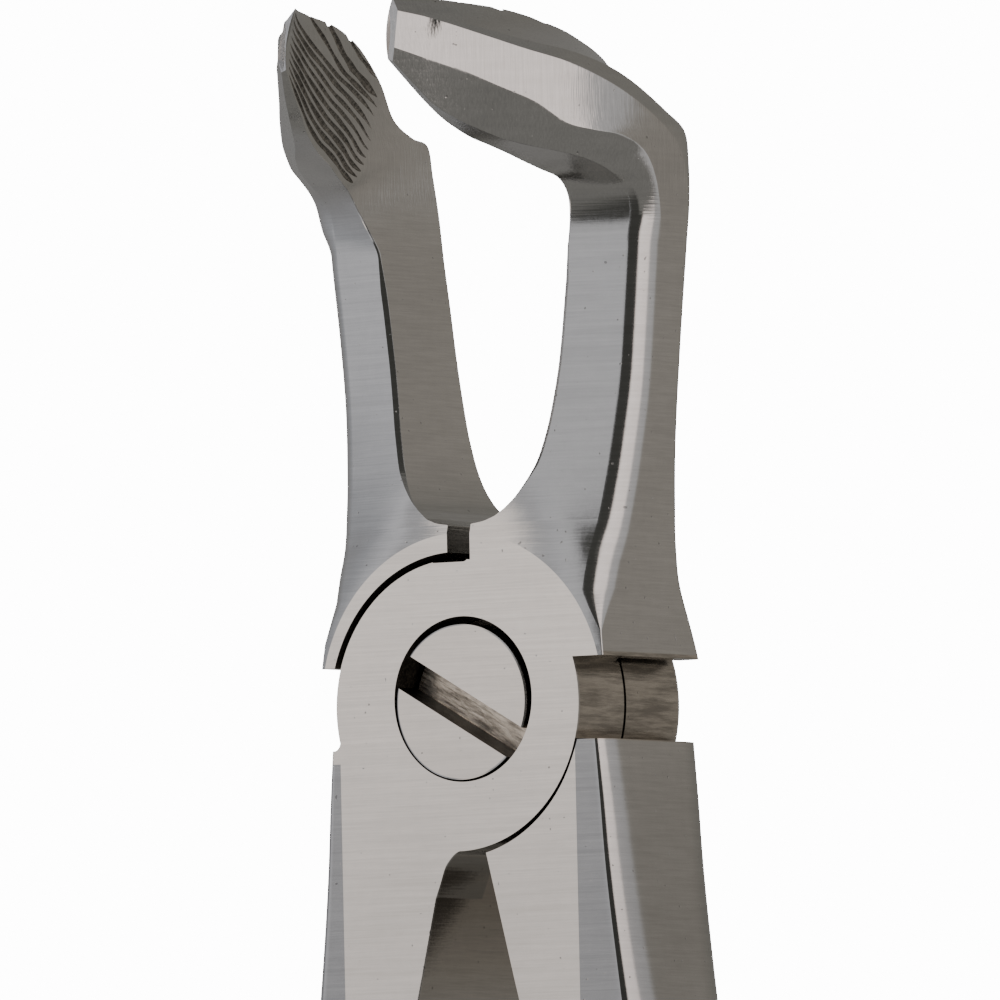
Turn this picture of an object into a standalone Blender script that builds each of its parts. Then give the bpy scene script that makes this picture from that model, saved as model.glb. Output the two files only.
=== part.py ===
"""Extraction forceps: two crossed halves in a lap joint, held by one slotted pivot screw.

Metres, +Z towards the beaks, +X towards the right jaw, +Y away from the joint's front face.
The origin is on the pivot axis, in the plane of the joint's flat rear face.
All driving dimensions below are millimetres, with y counted back from the joint's front face.
"""

import math

import bmesh
import bpy
import numpy as np

MM = 0.001

# ---------------------------------------------------------------- joint
DEPTH = 9.3                 # front face to rear face
FRONT_LAP = 4.2             # the front half's lap plate
REAR_LAP = 4.4              # where the rear half's lap plate starts
DISC_RADIUS = 7.5
DISC_CENTRE = (-0.28, -0.15)
SHOULDER_GAP = 0.37         # between a disc and the shoulder that runs round it
TIGHT_GAP = 0.13            # the same gap at the front, low on the right
SLOT_ROOT = 0.6             # from the middle to the root's side of the slot beside it
SLOT_CORNER = 0.35
JAW_FOOT = 2.05             # underside of a jaw, over the side notch
HANDLE_TOP = -2.2           # top of a handle, under the side notch

# ---------------------------------------------------------------- screw
BORE_RADIUS = 4.25
BORE_CENTRE = (0.05, 0.12)
BORE_DEPTH = 2.95
HEAD_RADIUS = 3.98
HEAD_DEPTH = 2.9
HEAD_PROUD = 0.03
SHANK_RADIUS = 2.7
SHANK_GAP = 0.06
SHANK_END = 8.1
DRIVE_WIDTH = 1.77
DRIVE_DEPTH = 1.9
DRIVE_TURN = 30.0
DRIVE_OFFSET = -0.3

# ---------------------------------------------------------------- jaw, right hand
# (z, x) of the crotch and inner face of the arm
CROTCH = [(1.0, 0.7), (5.0, 0.7), (9.12, 0.7), (9.18, 1.15), (9.38, 1.85), (9.75, 2.45), (10.25, 3.0),
          (11.0, 3.52), (12.0, 4.0), (13.7, 4.48), (15.8, 4.84), (18.3, 5.18), (20.6, 5.45),
          (23.3, 5.8)]
# (z, x) of the outer side
ARM_SIDE = [(JAW_FOOT, 8.72), (3.4, 8.57), (5.1, 8.5), (7.6, 8.58), (10.1, 8.8), (12.6, 9.02),
            (15.6, 9.3), (19.4, 9.64), (23.3, 10.02)]
# (distance from the pivot, setback along the inner edge, setback along the outer edge)
FRONT_SETBACK = [(3.0, -1.2, -1.2), (8.0, -0.2, -0.2), (8.7, 0.0, 0.0), (10.06, 0.36, 0.6),
                 (11.5, 0.7, 1.42), (13.4, 1.2, 2.08), (15.5, 1.58, 2.53), (18.2, 1.88, 2.9),
                 (21.0, 1.92, 2.97), (25.5, 1.88, 2.92)]
BACK_SETBACK = [(3.0, -1.2, -1.2), (8.0, -0.3, -0.3), (8.6, 0.0, 0.0), (9.2, 0.45, 0.55),
                (10.0, 0.85, 1.2), (11.5, 1.15, 1.7), (13.4, 1.22, 2.02), (15.5, 1.3, 2.23),
                (18.0, 1.37, 2.32), (25.5, 1.43, 2.25)]
INNER_CHAMFER = 0.3
# edges of the bend and the beak, from the arm to the tip
INNER_LOWER = [(6.22, 1.58, 24.7), (6.5, 1.0, 25.8), (6.45, 0.25, 26.6), (6.1, -0.8, 27.0),
               (5.75, -1.9, 27.4), (5.4, -2.9, 27.8), (5.05, -4.1, 28.2), (4.7, -5.3, 28.6),
               (4.24, -6.8, 29.4), (3.85, -7.9, 30.3), (3.55, -8.9, 31.2), (3.15, -10.15, 32.4)]
HEEL_LOWER = [(9.2, 2.5, 24.9), (9.3, 1.6, 26.2), (9.2, 0.3, 27.0), (8.75, -1.0, 27.5),
              (8.1, -2.2, 27.8), (7.3, -3.4, 28.05), (6.6, -4.5, 28.35), (5.85, -5.55, 28.8),
              (5.05, -6.95, 29.45), (4.5, -8.0, 30.1), (4.07, -8.95, 31.0), (3.45, -10.15, 32.3)]
SIDE_LOWER = [(10.4, 3.1, 25.0), (10.62, 2.15, 26.6), (10.5, 1.1, 27.5), (10.1, -0.1, 28.05),
              (9.5, -1.25, 28.6), (8.85, -2.4, 29.2), (7.95, -3.85, 30.25), (6.83, -5.5, 31.05),
              (5.78, -7.1, 31.8), (4.92, -8.4, 32.3), (4.4, -9.2, 32.6), (3.62, -10.22, 33.0)]
SIDE_UPPER = [(10.2, 6.6, 25.3), (10.3, 6.3, 27.2), (10.3, 5.5, 28.5), (10.25, 3.9, 29.6),
              (10.1, 1.7, 30.7), (9.65, -0.4, 31.6), (8.9, -2.35, 32.35), (7.6, -4.3, 33.0),
              (6.4, -6.1, 33.65), (5.25, -7.75, 34.25), (4.4, -8.5, 34.6), (3.52, -9.7, 34.9)]
TOP_OUTER = [(9.75, 7.15, 25.3), (9.85, 7.22, 27.4), (9.75, 7.15, 29.1), (9.65, 5.55, 30.13),
             (9.35, 3.4, 31.38), (9.0, 1.4, 32.25), (8.4, -1.2, 32.95), (7.35, -3.8, 33.45),
             (6.2, -5.7, 34.0), (5.15, -7.5, 34.45), (4.3, -8.35, 34.75), (3.4, -9.6, 35.05)]
TOP_INNER = [(6.0, 7.8, 25.6), (6.2, 7.6, 27.8), (6.3, 7.3, 29.4), (6.45, 6.1, 29.8), (6.75, 4.9, 30.7),
             (7.04, 4.2, 32.55), (6.5, 1.9, 33.98), (5.9, -0.3, 34.72), (5.35, -2.6, 35.2),
             (4.7, -5.4, 35.46), (4.0, -7.6, 35.62), (3.0, -9.4, 35.62)]
TIP_BOW = 0.35              # the tip's end is bowed forward at mid height
ARM_FRONT_RADIUS = (1.05, 1.35)   # across the front, down the side
ARM_BACK_RADIUS = 0.5
LEFT_DROP = 0.2             # the left beak was bent a little lower than the right
LEFT_TUCK = 0.55            # and its bend was ground a little narrower

# ---------------------------------------------------------------- handle, right hand
# (z, inner x, outer x)
HANDLE = [(HANDLE_TOP, 0.0, 8.6), (-5.0, 0.62, 8.9), (-8.2, 1.4, 9.2), (-11.8, 2.27, 9.62),
          (-15.5, 3.17, 10.15), (-22.0, 4.95, 11.35), (-32.0, 8.3, 14.2), (-45.0, 13.0, 19.2),
          (-60.0, 17.7, 24.8), (-75.0, 21.2, 28.9), (-90.0, 23.1, 31.1), (-105.0, 23.1, 31.0),
          (-118.0, 21.8, 29.0), (-127.0, 20.6, 27.5), (-132.0, 20.5, 27.4)]
# (z, depth, outer corner x, outer corner y, inner corner x, inner corner y)
ROUNDING = [(HANDLE_TOP, 9.36, 0.6, 1.9, 0.05, 0.05), (-5.0, 9.36, 0.7, 2.0, 0.05, 0.05),
            (-8.2, 9.36, 0.8, 2.2, 0.08, 0.08), (-15.5, 9.36, 1.0, 2.6, 0.12, 0.12),
            (-30.0, 9.3, 2.4, 3.2, 0.6, 0.6), (-50.0, 9.3, 4.2, 4.3, 1.2, 1.6),
            (-90.0, 9.3, 4.8, 4.55, 1.6, 2.2), (-118.0, 9.1, 4.2, 4.4, 1.5, 2.0),
            (-132.0, 8.9, 4.0, 4.3, 1.5, 2.0)]
FACET_X = 7.3               # outside this the handle's faces fall away a little
FACET_FALL = 0.16
FACET_END = -34.0
HANDLE_END = 2.6            # length of the rounded end past the last section

JAW_ROWS = 3                # rings between two hand-set rows of the beak
CIRCLE = 128


def clear_scene():
    for obj in list(bpy.data.objects):
        bpy.data.objects.remove(obj, do_unlink=True)


def spline(points, per_span):
    """A Catmull-Rom curve through the points, with per_span steps between neighbours."""
    p = np.array(points, float)
    p = np.vstack([2 * p[0] - p[1], p, 2 * p[-1] - p[-2]])
    out = []
    for i in range(1, len(p) - 2):
        for t in np.arange(per_span) / per_span:
            a, b, c, d = p[i - 1:i + 3]
            out.append(0.5 * (2 * b + (c - a) * t + (2 * a - 5 * b + 4 * c - d) * t * t
                              + (3 * b - a - 3 * c + d) * t ** 3))
    out.append(p[-2])
    return np.array(out)


def along(table, z):
    """The table's columns at height z, on a smooth curve through its rows."""
    rows = sorted(table)
    zs = np.array([row[0] for row in rows])
    values = np.array([row[1:] for row in rows], float)
    slopes = np.gradient(values, zs, axis=0)
    z = min(max(z, zs[0]), zs[-1])
    i = min(max(int(np.searchsorted(zs, z)) - 1, 0), len(zs) - 2)
    h = zs[i + 1] - zs[i]
    t = (z - zs[i]) / h
    rise = (values[i + 1] - values[i]) / h
    low = np.where(slopes[i] * rise <= 0, 0.0, np.clip(slopes[i], -3 * abs(rise), 3 * abs(rise)))
    high = np.where(slopes[i + 1] * rise <= 0, 0.0, np.clip(slopes[i + 1], -3 * abs(rise), 3 * abs(rise)))
    return ((2 * t ** 3 - 3 * t * t + 1) * values[i] + (t ** 3 - 2 * t * t + t) * h * low
            + (3 * t * t - 2 * t ** 3) * values[i + 1] + (t ** 3 - t * t) * h * high)


def between(a, b, steps):
    """Points strictly between a and b."""
    return [a + (b - a) * k / (steps + 1) for k in range(1, steps + 1)]


def rounded(a, corner, b, bulge, steps=2):
    """Points strictly between a and b, bowed towards the corner."""
    points = []
    for k in range(1, steps + 1):
        t = k / (steps + 1)
        flat = a + (b - a) * t
        curve = (1 - t) ** 2 * a + 2 * t * (1 - t) * corner + t * t * b
        points.append(flat + (curve - flat) * bulge)
    return points


def setback(table, x, z, share):
    """How far the arm lies behind the joint's face; negative inside the boss, where a flat cut trims it."""
    inner, outer = along(table, math.hypot(x, z))
    return inner + (outer - inner) * share


def arm_ring(z):
    """One level section of the jaw's arm."""
    outer_x = along(ARM_SIDE, z)[0]
    inner_x = along(CROTCH, z)[0]
    radius, side_radius = (r * min(max((z - 3.2) / 2.2, 0.08), 1.0) for r in ARM_FRONT_RADIUS)
    back_radius = ARM_BACK_RADIUS * min(1.0, 0.3 + (z - JAW_FOOT) / 6.0)
    chamfer = INNER_CHAMFER * min(max((z - 10.0) / 2.0, 0.05), 1.0) * min(max((24.5 - z) / 3.0, 0.05), 1.0)
    front = setback(FRONT_SETBACK, outer_x, z, 1.0)
    back = DEPTH - setback(BACK_SETBACK, outer_x, z, 1.0)
    ring = [np.array((inner_x, setback(FRONT_SETBACK, inner_x, z, 0.0) + chamfer, z))]
    for share in np.linspace(0.0, 1.0, 8):
        x = inner_x + 0.45 * chamfer + (outer_x - radius - inner_x - 0.45 * chamfer) * share
        ring.append(np.array((x, setback(FRONT_SETBACK, x, z, (x - inner_x) / (outer_x - inner_x)), z)))
    p_side = np.array((outer_x, front + side_radius, z))
    ring += rounded(ring[-1], np.array((outer_x, front, z)), p_side, 1.0, 3) + [p_side]
    p_upper = np.array((outer_x, back - back_radius, z))
    p_back = np.array((outer_x - back_radius, back, z))
    ring += between(p_side, p_upper, 1) + [p_upper]
    ring += rounded(p_upper, np.array((outer_x, back, z)), p_back, 1.0, 1) + [p_back]
    for share in (0.75, 0.5, 0.25, 0.0):
        x = inner_x + (p_back[0] - inner_x) * share
        ring.append(np.array((x, DEPTH - setback(BACK_SETBACK, x, z, share), z)))
    ring += between(ring[-1], ring[0], 2)
    return np.array(ring)


def beak_rings():
    """The sections of the bend and the beak, each through the same six edges."""
    last = arm_ring(23.3)
    first = (last[0], last[8], last[12], last[14], last[16], last[20])
    edges = (INNER_LOWER, HEEL_LOWER, SIDE_LOWER, SIDE_UPPER, TOP_OUTER, TOP_INNER)
    lines = [spline([tuple(start)] + edge, JAW_ROWS) for start, edge in zip(first, edges)]
    rings = []
    for row in range(1, len(lines[0])):
        inner, heel, lower, upper, outer, top = (line[row] for line in lines)
        share = row / (len(lines[0]) - 1)
        bulge = max(0.0, 1.0 - 2.6 * share)
        corner = heel + (lower - heel) * np.array((1.0, 0.0, 0.3))
        cap = upper + (outer - upper) * np.array((0.0, 1.0, 1.0))
        bow = np.array((0.0, -TIP_BOW, 0.0)) * max(0.0, 1.0 - (1.0 - share) * 9.0)
        ring = [inner] + between(inner, heel, 7) + [heel]
        ring += rounded(heel, corner, lower, bulge, 3) + [lower]
        ring += between(lower, upper, 1) + [upper]
        ring += rounded(upper, cap, outer, bulge, 1) + [outer]
        ring += between(outer, top, 3) + [top]
        ring += [point + bow for point in between(top, inner, 2)]
        rings.append(np.array(ring))
    return rings


def jaw_rings():
    """The right jaw, foot to tip."""
    levels = list(np.linspace(JAW_FOOT, 9.0, 8))
    levels += [9.12, 9.14, 9.18, 9.27, 9.38, 9.55, 9.75, 10.0, 10.25, 10.6, 11.0, 11.5, 12.0]
    levels += [12.8, 13.7, 14.8, 16.0, 17.5, 19.0, 20.5, 22.0, 23.3]
    return [arm_ring(z) for z in levels] + beak_rings()


def left_jaw_rings():
    """The mirror of the right jaw, with its beak a little lower."""
    rings = []
    for ring in jaw_rings():
        drop = LEFT_DROP * np.clip((ring[:, 2] - 20.0) / 8.0, 0.0, 1.0)
        at_bend = np.exp(-((ring[:, 2] - 26.6) / 1.7) ** 2)
        tuck = LEFT_TUCK * at_bend * np.clip((ring[:, 0] - 6.5) / 3.0, 0.0, 1.0)
        moved = np.column_stack([tuck - ring[:, 0], ring[:, 1], ring[:, 2] - drop])
        rings.append(moved[::-1])
    return rings


def handle_ring(z, scale=1.0):
    """One level section of the right handle: a block with four rounded corners."""
    inner_x, outer_x = along(HANDLE, z)
    depth, ox, oy, ix, iy = along(ROUNDING, z)
    middle = (inner_x + outer_x) / 2
    half_x = (outer_x - inner_x) / 2
    half_y = depth / 2
    fall = FACET_FALL * min(max((z - FACET_END) / 15.0, 0.0), 1.0)
    facet_x = max(FACET_X, inner_x + ix + 0.1) - middle
    ring = []
    corners = ((1, -1, ox, oy), (1, 1, ox, oy), (-1, 1, ix, iy), (-1, -1, ix, iy))
    for n, (sx, sy, rx, ry) in enumerate(corners):
        rx = min(rx, half_x)
        ry = min(ry, half_y)
        angles = np.radians(np.linspace(-90, 0, 6 if n < 2 else 4) + 90 * n)
        cx = sx * (half_x - rx)
        cy = sy * (half_y - ry)
        arc = [(cx + rx * math.cos(a), cy + ry * math.sin(a)) for a in angles]
        edge = (min(facet_x, half_x - rx - 0.05), sy * half_y)
        arc = [edge] + arc if n == 0 else arc + [edge] if n == 1 else arc
        for x, y in arc:
            y *= 1.0 - fall * max(0.0, x - facet_x) / half_y
            ring.append((middle + x * scale, DEPTH / 2 + y * scale, z))
    return np.array(ring)


def handle_rings():
    """The right handle, top to end, with a domed end."""
    levels = [HANDLE_TOP, -3.6, -5.2, -6.6, -8.6, -11.0, -13.4, -15.5]
    levels += list(np.linspace(-18.5, -132.0, 32))
    rings = [handle_ring(z) for z in levels]
    for turn in np.radians((25, 45, 62, 76)):
        ring = handle_ring(-132.0, math.cos(turn))
        ring[:, 2] -= HANDLE_END * math.sin(turn)
        rings.append(ring)
    return rings


def left_handle_rings():
    """The right handle turned half round the tool's long axis."""
    return [np.column_stack([-ring[:, 0], DEPTH - ring[:, 1], ring[:, 2]]) for ring in handle_rings()]


def new_object(name, points, faces):
    points = (np.array(points, float) - np.array((0.0, DEPTH, 0.0))) * MM
    mesh = bpy.data.meshes.new(name)
    mesh.from_pydata([tuple(p) for p in points], [], [tuple(f) for f in faces])
    body = bmesh.new()
    body.from_mesh(mesh)
    bmesh.ops.recalc_face_normals(body, faces=body.faces)
    body.to_mesh(mesh)
    body.free()
    obj = bpy.data.objects.new(name, mesh)
    bpy.context.scene.collection.objects.link(obj)
    return obj


def loft(name, rings):
    """A closed skin over the rings, each end closed by one face."""
    count = len(rings[0])
    points = np.vstack(rings)
    faces = []
    for r in range(len(rings) - 1):
        for k in range(count):
            nxt = (k + 1) % count
            faces.append((r * count + k, r * count + nxt, (r + 1) * count + nxt, (r + 1) * count + k))
    faces.append(tuple(range(count))[::-1])
    faces.append(tuple(range((len(rings) - 1) * count, len(rings) * count)))
    return new_object(name, points, faces)


def prism(name, outline, y0, y1):
    """An (x, z) outline carried from depth y0 to depth y1."""
    return loft(name, [np.array([(x, y, z) for x, z in outline]) for y in (y0, y1)])


def circle(centre, radius, gap=None):
    """An (x, z) outline round the centre; gap gives extra radius as a function of the angle in degrees."""
    points = []
    for k in range(CIRCLE):
        degrees = 360.0 * k / CIRCLE
        angle = math.radians(degrees)
        r = radius + (gap(degrees) if gap else 0.0)
        points.append((centre[0] + r * math.cos(angle), centre[1] + r * math.sin(angle)))
    return points


def front_gap(angle):
    """Clearance round the front disc: tight low on the right, opening towards the bottom slot."""
    if angle < 20.0:
        return TIGHT_GAP
    if angle < 200.0:
        return SHOULDER_GAP
    share = min(max((angle - 260.0) / 75.0, 0.0), 1.0)
    return SHOULDER_GAP + (TIGHT_GAP - SHOULDER_GAP) * share


def slot_outline():
    """The slot between the right jaw's root and the left jaw's shoulder, with its round lower corner."""
    outline = [(-1.6, 10.5), (-1.6, 7.2)]
    for angle in np.radians(np.linspace(-90, 0, 6)):
        outline.append((SLOT_ROOT - SLOT_CORNER + SLOT_CORNER * math.cos(angle),
                        7.2 + SLOT_CORNER + SLOT_CORNER * math.sin(angle)))
    outline.append((SLOT_ROOT + 0.2, 10.5))
    return outline


def web_outline():
    """The rounded root between the front disc and the left handle's inner edge."""
    root = [(-1.62, -9.6), (-1.2, -8.5), (-0.95, -8.1), (-0.55, -7.75), (0.1, -7.5)]
    return [(-2.6, -6.4), (-2.6, -9.6)] + root + [(0.1, -6.4)]


def turned(outline):
    """The same outline seen from the back."""
    return [(-x, z) for x, z in outline][::-1]


def combine(target, other, operation):
    modifier = target.modifiers.new(other.name, "BOOLEAN")
    modifier.operation = operation
    modifier.solver = "EXACT"
    modifier.object = other
    other.hide_render = True
    other.display_type = "WIRE"


def material(name, colour, roughness):
    mat = bpy.data.materials.new(name)
    mat.use_nodes = True
    shader = mat.node_tree.nodes["Principled BSDF"]
    shader.inputs["Base Color"].default_value = (*colour, 1.0)
    shader.inputs["Metallic"].default_value = 1.0
    shader.inputs["Roughness"].default_value = roughness
    return mat


def finish(obj, mat):
    obj.data.materials.append(mat)
    obj.data.shade_smooth()
    obj.data.set_sharp_from_angle(angle=math.radians(28))


def boss_slab(name, y0, y1):
    """A slab over the joint and the handles, clear of the beaks."""
    return prism(name, [(-45, -140), (45, -140), (45, 12), (-45, 12)], y0, y1)


def build_front_half():
    half = loft("front_half", jaw_rings())
    combine(half, loft("front_handle_stock", left_handle_rings()), "UNION")
    disc = circle(DISC_CENTRE, DISC_RADIUS)
    combine(half, prism("front_disc_stock", disc, -0.5, FRONT_LAP + 0.6), "UNION")
    combine(half, prism("front_web_stock", web_outline(), -0.5, FRONT_LAP), "UNION")
    combine(half, boss_slab("front_grind_a", -3.0, 0.0), "DIFFERENCE")
    combine(half, boss_slab("rear_grind_a", DEPTH, DEPTH + 3.0), "DIFFERENCE")
    room = circle(DISC_CENTRE, DISC_RADIUS + SHOULDER_GAP)
    combine(half, prism("rear_lap_room", room, FRONT_LAP, 12.0), "DIFFERENCE")
    combine(half, prism("front_slot", slot_outline(), -1.0, FRONT_LAP), "DIFFERENCE")
    combine(half, prism("head_bore", circle(BORE_CENTRE, BORE_RADIUS), -1.0, BORE_DEPTH), "DIFFERENCE")
    shank = circle((0.0, 0.0), SHANK_RADIUS + SHANK_GAP)
    combine(half, prism("shank_bore", shank, -1.0, 6.0), "DIFFERENCE")
    return half


def build_rear_half():
    half = loft("rear_half", left_jaw_rings())
    combine(half, loft("rear_handle_stock", handle_rings()), "UNION")
    disc = circle(DISC_CENTRE, DISC_RADIUS)
    combine(half, prism("rear_disc_stock", disc, REAR_LAP - 0.6, DEPTH + 0.5), "UNION")
    combine(half, prism("rear_web_stock", turned(web_outline()), REAR_LAP, DEPTH + 0.5), "UNION")
    combine(half, boss_slab("front_grind_b", -3.0, 0.0), "DIFFERENCE")
    combine(half, boss_slab("rear_grind_b", DEPTH, DEPTH + 3.0), "DIFFERENCE")
    room = circle(DISC_CENTRE, DISC_RADIUS, front_gap)
    combine(half, prism("front_lap_room", room, -2.0, REAR_LAP), "DIFFERENCE")
    combine(half, prism("rear_slot", turned(slot_outline()), REAR_LAP, 12.0), "DIFFERENCE")
    shank = circle((0.0, 0.0), SHANK_RADIUS + SHANK_GAP)
    combine(half, prism("screw_hole", shank, 1.0, SHANK_END + SHANK_GAP), "DIFFERENCE")
    return half


def build_screw():
    """Head and shank in one turned body, with the driver slot across the head."""
    shank = [(SHANK_RADIUS - 0.35, SHANK_END), (SHANK_RADIUS, SHANK_END - 0.35), (SHANK_RADIUS, HEAD_DEPTH)]
    profile = shank + [(HEAD_RADIUS, HEAD_DEPTH), (HEAD_RADIUS, 0.0), (HEAD_RADIUS - 0.04, -HEAD_PROUD)]
    rings = [np.array([(x, y, z) for x, z in circle((0.0, 0.0), radius)]) for radius, y in profile]
    screw = loft("pivot_screw", rings)
    turn = math.radians(-DRIVE_TURN)
    across = np.array((math.cos(turn), math.sin(turn)))
    normal = np.array((-math.sin(turn), math.cos(turn)))
    outline = []
    for a, b in ((-6, -0.5), (6, -0.5), (6, 0.5), (-6, 0.5)):
        outline.append(tuple(across * a + normal * (b * DRIVE_WIDTH + DRIVE_OFFSET)))
    combine(screw, prism("driver_slot", outline, -1.0, DRIVE_DEPTH), "DIFFERENCE")
    return screw


def main():
    clear_scene()
    finish(build_rear_half(), material("satin_steel_rear", (0.62, 0.61, 0.59), 0.32))
    finish(build_front_half(), material("satin_steel_front", (0.62, 0.61, 0.59), 0.32))
    finish(build_screw(), material("screw_steel", (0.6, 0.585, 0.55), 0.3))


main()
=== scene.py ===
"""Extraction forceps: the finished look of the two crossed halves and their slotted pivot screw.

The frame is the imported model's: metres, +Z towards the beaks, +X towards the right jaw, +Y out of the
joint's flat rear face, with the origin on the pivot axis in that face. Sizes below are millimetres, with
y counted back from the joint's front face, and shaped() turns them into the frame.
"""

import math

import bmesh
import bpy
import numpy as np
from mathutils import Matrix, Vector


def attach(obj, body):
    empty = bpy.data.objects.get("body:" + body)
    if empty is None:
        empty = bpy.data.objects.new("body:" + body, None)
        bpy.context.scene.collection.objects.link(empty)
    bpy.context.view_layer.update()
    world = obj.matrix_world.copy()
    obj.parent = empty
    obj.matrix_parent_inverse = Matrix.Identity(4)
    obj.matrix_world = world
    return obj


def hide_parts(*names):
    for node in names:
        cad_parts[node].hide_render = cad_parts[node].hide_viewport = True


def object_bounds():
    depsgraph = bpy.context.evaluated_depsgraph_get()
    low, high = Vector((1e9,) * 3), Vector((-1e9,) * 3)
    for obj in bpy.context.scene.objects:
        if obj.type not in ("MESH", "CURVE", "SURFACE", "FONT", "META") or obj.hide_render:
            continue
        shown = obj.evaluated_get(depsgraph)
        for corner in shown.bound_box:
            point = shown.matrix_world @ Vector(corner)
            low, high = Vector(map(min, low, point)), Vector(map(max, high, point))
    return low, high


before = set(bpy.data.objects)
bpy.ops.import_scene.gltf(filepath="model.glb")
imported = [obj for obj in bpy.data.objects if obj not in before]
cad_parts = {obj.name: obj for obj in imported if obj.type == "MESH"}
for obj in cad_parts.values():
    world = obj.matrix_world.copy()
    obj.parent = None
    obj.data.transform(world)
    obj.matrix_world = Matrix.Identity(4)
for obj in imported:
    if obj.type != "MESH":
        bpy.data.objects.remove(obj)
cad_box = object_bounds()

MM = 0.001
rng = np.random.default_rng(7)

# ---------------------------------------------------------------- joint
DEPTH = 9.3
FRONT_LAP = 4.2
REAR_LAP = 4.4
DISC_RADIUS = 7.5
DISC_CENTRE = (-0.28, -0.15)
SHOULDER_GAP = 0.37
TIGHT_GAP = 0.13
SLOT_ROOT = 0.6
SLOT_CORNER = 0.35
JAW_FOOT = 2.05
HANDLE_TOP = -2.2

# ---------------------------------------------------------------- screw
BORE_RADIUS = 4.25
BORE_CENTRE = (0.09, 0.15)
BORE_DEPTH = 2.95
HEAD_RADIUS = 4.02
HEAD_DEPTH = 2.9
HEAD_PROUD = 0.03
SHANK_RADIUS = 2.7
SHANK_GAP = 0.06
SHANK_END = 8.1
DRIVE_WIDTH = 1.77
DRIVE_DEPTH = 1.9
DRIVE_TURN = 30.0
DRIVE_OFFSET = -0.3

# ---------------------------------------------------------------- jaw, right hand
CROTCH = [(1.0, 0.7), (5.0, 0.7), (9.12, 0.7), (9.18, 1.15), (9.38, 1.85), (9.75, 2.45), (10.25, 3.0),
          (11.0, 3.52), (12.0, 4.0), (13.7, 4.48), (15.8, 4.84), (18.3, 5.18), (20.6, 5.45),
          (23.3, 5.8)]
ARM_SIDE = [(JAW_FOOT, 8.72), (3.4, 8.57), (5.1, 8.5), (7.6, 8.58), (10.1, 8.8), (12.6, 9.02),
            (15.6, 9.3), (19.4, 9.64), (23.3, 10.02)]
FRONT_SETBACK = [(3.0, -1.2, -1.2), (8.0, -0.2, -0.2), (8.7, 0.0, 0.0), (10.06, 0.36, 0.6),
                 (11.5, 0.7, 1.42), (13.4, 1.2, 2.08), (15.5, 1.58, 2.53), (18.2, 1.88, 2.9),
                 (21.0, 1.92, 2.97), (25.5, 1.88, 2.92)]
BACK_SETBACK = [(3.0, -1.2, -1.2), (8.0, -0.3, -0.3), (8.6, 0.0, 0.0), (9.2, 0.45, 0.55),
                (10.0, 0.85, 1.2), (11.5, 1.15, 1.7), (13.4, 1.22, 2.02), (15.5, 1.3, 2.23),
                (18.0, 1.37, 2.32), (25.5, 1.43, 2.25)]
INNER_CHAMFER = (0.27, 0.14)
INNER_LOWER = [(6.22, 1.58, 24.7), (6.5, 1.0, 25.8), (6.45, 0.25, 26.6), (6.1, -0.8, 27.0),
               (5.75, -1.9, 27.4), (5.4, -2.9, 27.8), (5.05, -4.1, 28.2), (4.7, -5.3, 28.6),
               (4.24, -6.8, 29.4), (3.85, -7.9, 30.3), (3.55, -8.9, 31.2), (3.15, -10.15, 32.4)]
HEEL_LOWER = [(9.2, 2.5, 24.9), (9.3, 1.6, 26.2), (9.2, 0.3, 27.0), (8.75, -1.0, 27.5),
              (8.1, -2.2, 27.8), (7.3, -3.4, 28.05), (6.6, -4.5, 28.35), (5.85, -5.55, 28.8),
              (5.05, -6.95, 29.45), (4.5, -8.0, 30.1), (4.07, -8.95, 31.0), (3.45, -10.15, 32.3)]
SIDE_LOWER = [(10.4, 3.1, 25.0), (10.62, 2.15, 26.6), (10.5, 1.1, 27.5), (10.1, -0.1, 28.05),
              (9.5, -1.25, 28.6), (8.85, -2.4, 29.2), (7.95, -3.85, 30.25), (6.83, -5.5, 31.05),
              (5.78, -7.1, 31.8), (4.92, -8.4, 32.3), (4.4, -9.2, 32.6), (3.62, -10.22, 33.0)]
SIDE_UPPER = [(10.2, 6.6, 25.3), (10.3, 6.3, 27.2), (10.3, 5.5, 28.5), (10.25, 3.9, 29.6),
              (10.1, 1.7, 30.7), (9.65, -0.4, 31.6), (8.9, -2.35, 32.35), (7.6, -4.3, 33.0),
              (6.4, -6.1, 33.65), (5.25, -7.75, 34.25), (4.4, -8.5, 34.6), (3.52, -9.7, 34.9)]
TOP_OUTER = [(9.75, 7.15, 25.3), (9.85, 7.22, 27.4), (9.75, 7.15, 29.1), (9.65, 5.55, 30.13),
             (9.35, 3.4, 31.38), (9.0, 1.4, 32.25), (8.4, -1.2, 32.95), (7.35, -3.8, 33.45),
             (6.2, -5.7, 34.0), (5.15, -7.5, 34.45), (4.3, -8.35, 34.75), (3.4, -9.6, 35.05)]
TOP_INNER = [(6.0, 7.8, 25.6), (6.2, 7.6, 27.8), (6.3, 7.3, 29.4), (6.45, 6.1, 29.8), (6.75, 4.9, 30.7),
             (7.04, 4.2, 32.55), (6.5, 1.9, 33.98), (5.9, -0.3, 34.72), (5.35, -2.6, 35.2),
             (4.7, -5.4, 35.46), (4.0, -7.6, 35.62), (3.0, -9.4, 35.62)]
SOFT_HEEL = [(9.2, 2.7, 24.9), (9.3, 2.0, 26.2), (9.2, 0.55, 27.0), (8.75, -0.9, 27.5)]
SOFT_SIDE = [(10.25, 4.0, 24.9), (10.45, 3.3, 26.6), (10.45, 2.3, 27.9), (10.2, 0.7, 28.6),
             (9.6, -1.0, 28.85)]
TIP_BOW = 0.35
ARM_FRONT_RADIUS = (1.05, 1.35)
ARM_BACK_RADIUS = 0.5
LEFT_DROP = 0.2
LEFT_TUCK = 0.55
ARM_TOP = 23.3
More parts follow.
